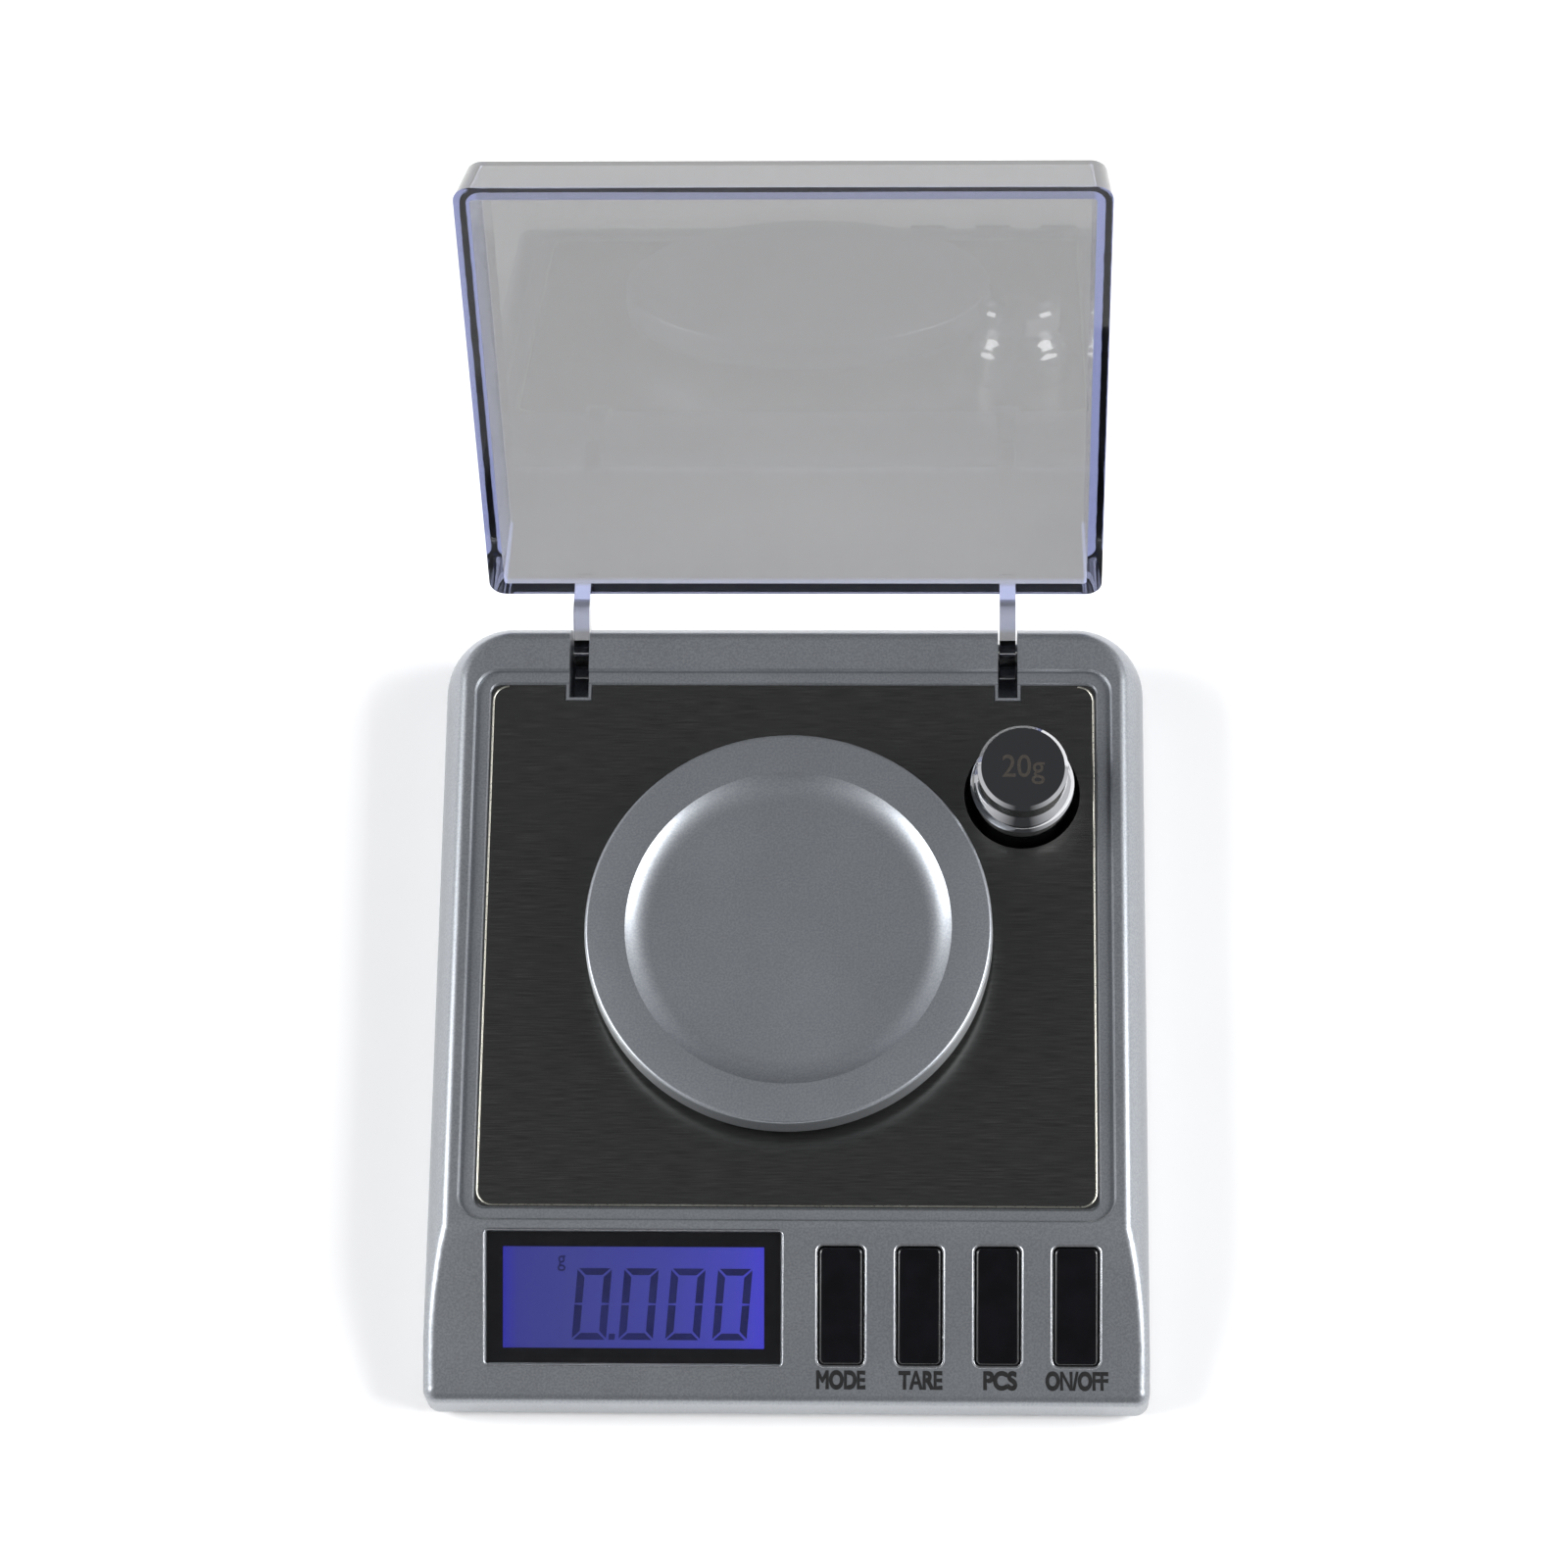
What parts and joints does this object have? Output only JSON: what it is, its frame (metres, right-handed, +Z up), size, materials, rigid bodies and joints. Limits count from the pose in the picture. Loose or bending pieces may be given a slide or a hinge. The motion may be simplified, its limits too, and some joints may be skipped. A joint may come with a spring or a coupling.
{
  "type": "digital gram scale",
  "caption": "pocket weighing scale with hinged see-through lid, round lift-off pan on a load cell, sloping display and key console, and a calibration weight in its cup",
  "frame": {"origin": "middle of the footprint with the lid open, on the table under the feet", "axes": "+X to the user's right, +Y to the back where the lid is hinged, +Z up"},
  "size_m": [0.1004, 0.1584, 0.0838],
  "materials": {
    "silver_paint": "satin silver lacquer",
    "black_plastic": "fine matt",
    "gloss_black": "gloss",
    "smoked_clear": "clear polished",
    "display_blue": "gloss",
    "light_guide": "translucent white",
    "brushed_steel": "brushed",
    "polished_steel": "mirror polished",
    "screw_steel": "zinc plated",
    "aluminium": "milled",
    "foil_gauge": "foil",
    "rubber": "matt",
    "board_green": "solder mask",
    "chip_black": "moulded",
    "battery_wrap": "printed wrap",
    "nickel": "nickel plated",
    "wire_sleeve": "sleeved"
  },
  "bodies": {
    "casing": {"top_shell": "silver_paint", "bottom_shell": "silver_paint", "rubber_feet": "rubber", "case_screws": "screw_steel", "batteries": "battery_wrap", "contact_plates": "nickel", "contact_springs": "nickel", "load_cell": "aluminium", "strain_gauges": "foil_gauge", "load_cell_fixed_screws": "screw_steel", "overload_stop": "screw_steel", "deck_plate": "brushed_steel", "weight_cup": "black_plastic", "display_window": "gloss_black", "lcd_glass": "display_blue", "lcd_backlight": "light_guide", "lcd_frame": "black_plastic", "key_switches": "chip_black", "main_board": "board_green", "board_screws": "screw_steel", "board_chips": "chip_black", "load_cell_wires": "wire_sleeve", "battery_wires": "wire_sleeve", "hinge_pin_left": "screw_steel", "hinge_pin_right": "screw_steel"},
    "lid": {"lid": "smoked_clear"},
    "pan": {"weighing_pan": "silver_paint"},
    "carrier": {"pan_carrier": "black_plastic", "load_cell_free_screws": "screw_steel"},
    "weight": {"calibration_weight": "polished_steel"},
    "door": {"battery_door": "black_plastic"},
    "key_mode": {"key_mode": "gloss_black"},
    "key_tare": {"key_tare": "gloss_black"},
    "key_count": {"key_count": "gloss_black"},
    "key_power": {"key_power": "gloss_black"}
  },
  "joints": [
    {"name": "lid_hinge", "type": "hinge", "parent": "casing", "child": "lid", "pos_m": [0, 0.03053, 0.0089], "axis": [-1, 0, 0], "range_deg": [-112.4, 0]},
    {"name": "pan_load", "type": "slide", "parent": "casing", "child": "carrier", "axis": [0, 0, -1], "range_m": [0, 0.0003], "stiffness_N_per_m": 16000, "deforming": ["load_cell"]},
    {"name": "pan_lift", "type": "slide", "parent": "carrier", "child": "pan", "axis": [0, 0, 1], "range_m": [0, 0.03]},
    {"name": "weight_lift", "type": "slide", "parent": "casing", "child": "weight", "axis": [0, 0, 1], "range_m": [0, 0.03]},
    {"name": "battery_door_slide", "type": "slide", "parent": "casing", "child": "door", "axis": [0, -1, 0], "range_m": [0, 0.006]},
    {"name": "key_mode_press", "type": "slide", "parent": "casing", "child": "key_mode", "axis": [0, 0.342, -0.9397], "range_m": [0, 0.0005], "stiffness_N_per_m": 1500},
    {"name": "key_tare_press", "type": "slide", "parent": "casing", "child": "key_tare", "axis": [0, 0.342, -0.9397], "range_m": [0, 0.0005], "stiffness_N_per_m": 1500},
    {"name": "key_count_press", "type": "slide", "parent": "casing", "child": "key_count", "axis": [0, 0.342, -0.9397], "range_m": [0, 0.0005], "stiffness_N_per_m": 1500},
    {"name": "key_power_press", "type": "slide", "parent": "casing", "child": "key_power", "axis": [0, 0.342, -0.9397], "range_m": [0, 0.0005], "stiffness_N_per_m": 1500}
  ]
}
